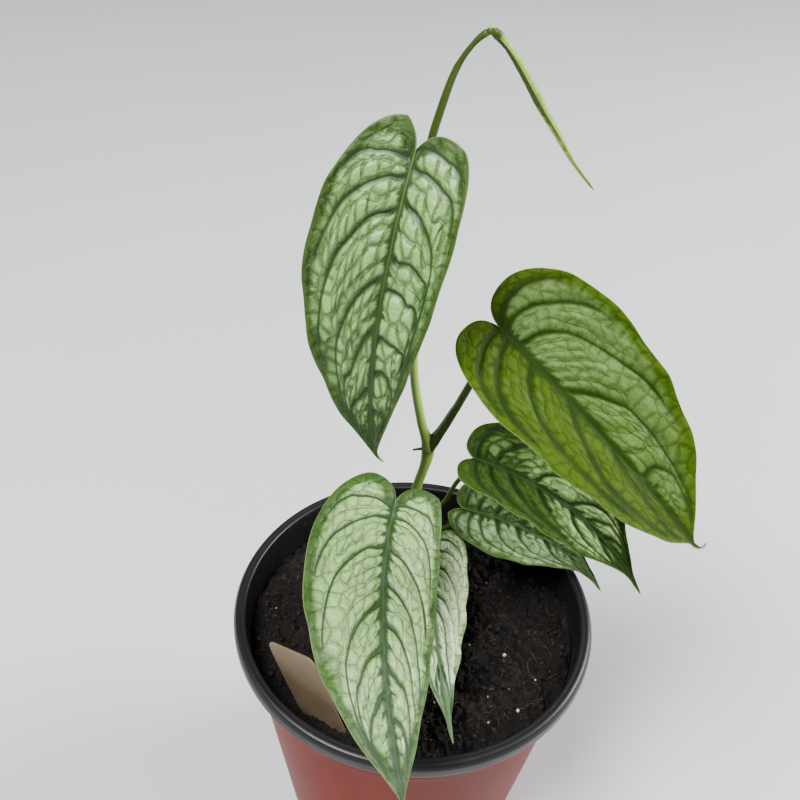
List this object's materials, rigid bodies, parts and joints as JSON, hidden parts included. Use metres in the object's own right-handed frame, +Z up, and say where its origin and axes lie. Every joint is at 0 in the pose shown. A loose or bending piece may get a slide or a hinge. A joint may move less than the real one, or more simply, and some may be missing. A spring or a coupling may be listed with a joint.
{
  "type": "potted climbing aroid",
  "caption": "Young climbing aroid with silvery, dark-veined pointed leaves in a round terracotta-coloured nursery pot with a blank plant label; stands on its flat foot.",
  "frame": {"origin": "middle of the pot's flat foot", "axes": "+Z up; +Y to the back, away from the viewer of the picture; +X to the viewer's right"},
  "size_m": [0.1388, 0.1471, 0.2851],
  "materials": {
    "pot": "moulded satin, terracotta outside and black inside",
    "soil": "loose damp peat and bark mix, rough",
    "label": "plain satin card-like plastic",
    "stem": "living stem, satin",
    "petiole": "living stalk, satin",
    "leaf_1": "living leaf, silvery satin with dark green veins",
    "leaf_2": "living leaf, silvery satin with dark green veins",
    "leaf_3": "living leaf, silvery satin with dark green veins",
    "leaf_4": "living leaf, silvery satin with dark green veins",
    "leaf_5": "living leaf, silvery satin with dark green veins",
    "leaf_6": "living leaf, silvery satin with dark green veins",
    "new_leaf": "living leaf still rolled, satin"
  },
  "bodies": {
    "root": {"pot": "pot", "soil": "soil", "plant_label": "label", "stem": "stem", "petiole_1": "petiole", "petiole_2": "petiole", "petiole_3": "petiole", "petiole_4": "petiole", "petiole_5": "petiole", "petiole_6": "petiole", "leaf_1": "leaf_1", "leaf_2": "leaf_2", "leaf_3": "leaf_3", "leaf_4": "leaf_4", "leaf_5": "leaf_5", "leaf_6": "leaf_6", "new_leaf_petiole": "petiole", "new_leaf": "new_leaf"}
  },
  "joints": []
}
